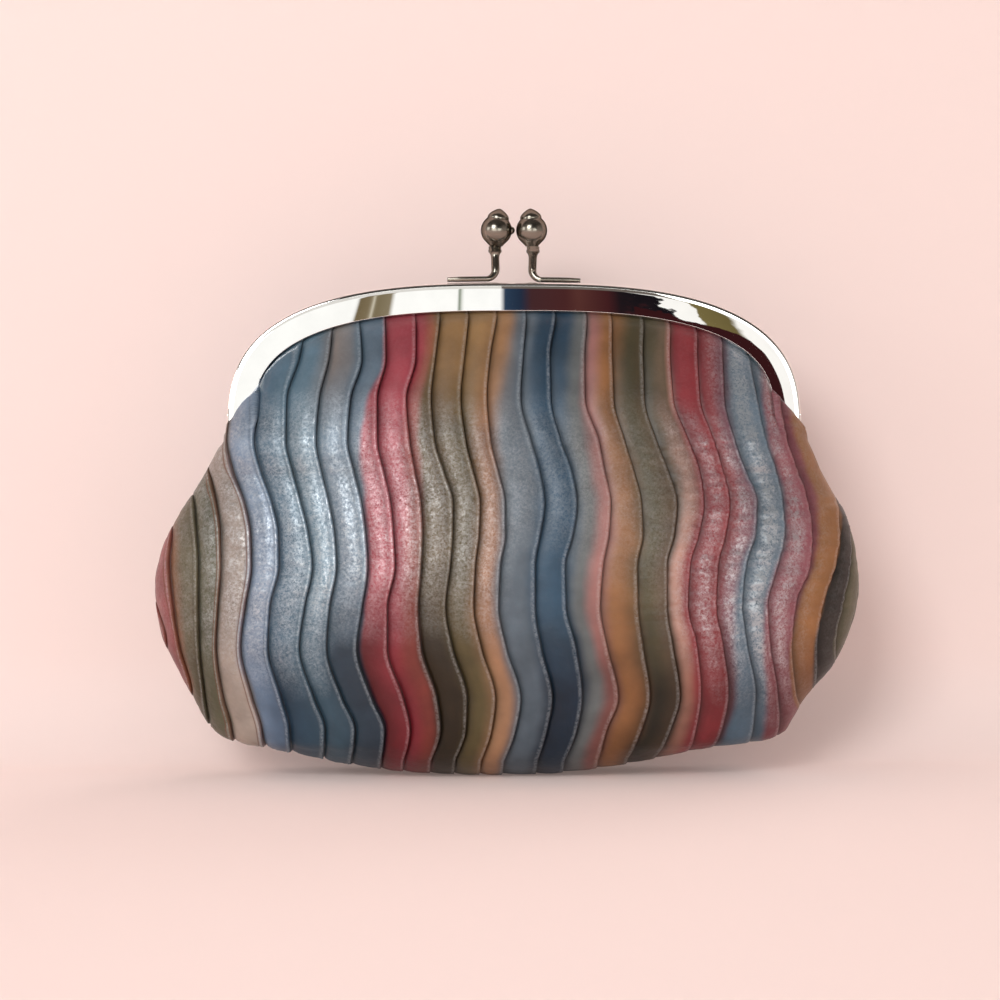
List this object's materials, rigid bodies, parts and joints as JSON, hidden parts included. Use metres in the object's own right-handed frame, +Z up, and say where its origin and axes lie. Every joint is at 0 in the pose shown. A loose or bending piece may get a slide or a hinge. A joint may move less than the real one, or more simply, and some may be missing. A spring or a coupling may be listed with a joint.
{
  "type": "frame purse",
  "caption": "Pleated leather purse with boxed corners on a hinged metal arch frame that snaps shut with crossing ball knobs.",
  "frame": {"origin": "on the ground under the middle of the closed purse, at the bottom centre of its box", "axes": "+X to the right along the frame, -Y out of the front panel, +Z up towards the knobs"},
  "size_m": [0.1664, 0.05, 0.133],
  "materials": {
    "frame": "polished",
    "knob": "polished dark nickel",
    "leather": "pearly, in soft stripes of many colours",
    "lining": "matt woven",
    "paper": "twisted kraft paper"
  },
  "bodies": {
    "bag": {"front_panel_lower": "leather", "rear_panel_lower": "leather", "front_panel_fold": "leather", "rear_panel_fold": "leather", "front_lining_lower": "lining", "rear_lining_lower": "lining", "front_lining_fold": "lining", "rear_lining_fold": "lining"},
    "front_half": {"front_frame": "frame", "left_knob_stem": "knob", "left_knob_ball": "knob", "front_paper_cord": "paper", "front_panel_upper": "leather", "front_lining_upper": "lining"},
    "rear_half": {"rear_frame": "frame", "right_knob_stem": "knob", "right_knob_ball": "knob", "rear_paper_cord": "paper", "rear_panel_upper": "leather", "rear_lining_upper": "lining", "left_hinge_rivet": "frame", "right_hinge_rivet": "frame"}
  },
  "joints": [
    {"name": "front_half_opening", "type": "hinge", "parent": "bag", "child": "front_half", "pos_m": [0, 0, 0.078], "axis": [1, 0, 0], "range_deg": [0, 45], "deforming": ["front_panel_fold", "front_lining_fold"]},
    {"name": "rear_half_opening", "type": "hinge", "parent": "bag", "child": "rear_half", "pos_m": [0, 0, 0.078], "axis": [1, 0, 0], "range_deg": [-45, 0], "deforming": ["rear_panel_fold", "rear_lining_fold"]}
  ],
  "couplings": [
    {"joint": "rear_half_opening", "follows": "front_half_opening", "ratio": -1}
  ]
}
